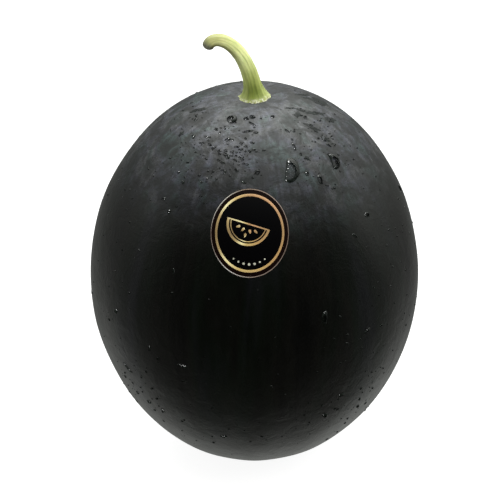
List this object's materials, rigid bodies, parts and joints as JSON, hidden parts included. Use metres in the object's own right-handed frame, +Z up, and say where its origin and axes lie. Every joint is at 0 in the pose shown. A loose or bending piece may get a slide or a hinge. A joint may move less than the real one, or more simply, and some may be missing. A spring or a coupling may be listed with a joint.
{
  "type": "watermelon",
  "caption": "Whole upright dark-rinded watermelon with a hooked cut stalk and a plain oval foil label, standing on the small flat of its blossom end.",
  "frame": {"origin": "centre of the flat spot that the fruit stands on", "axes": "+Z up from the blossom end to the stalk, -Y out through the label at the front, -X the way the stalk hooks over"},
  "size_m": [0.224, 0.224, 0.3072],
  "materials": {
    "rind": "satin",
    "stalk": "satin",
    "foil": "gloss",
    "gold_foil": "satin",
    "water": "polished"
  },
  "bodies": {
    "root": {"melon": "rind", "stem": "stalk", "label": "foil"}
  },
  "joints": []
}
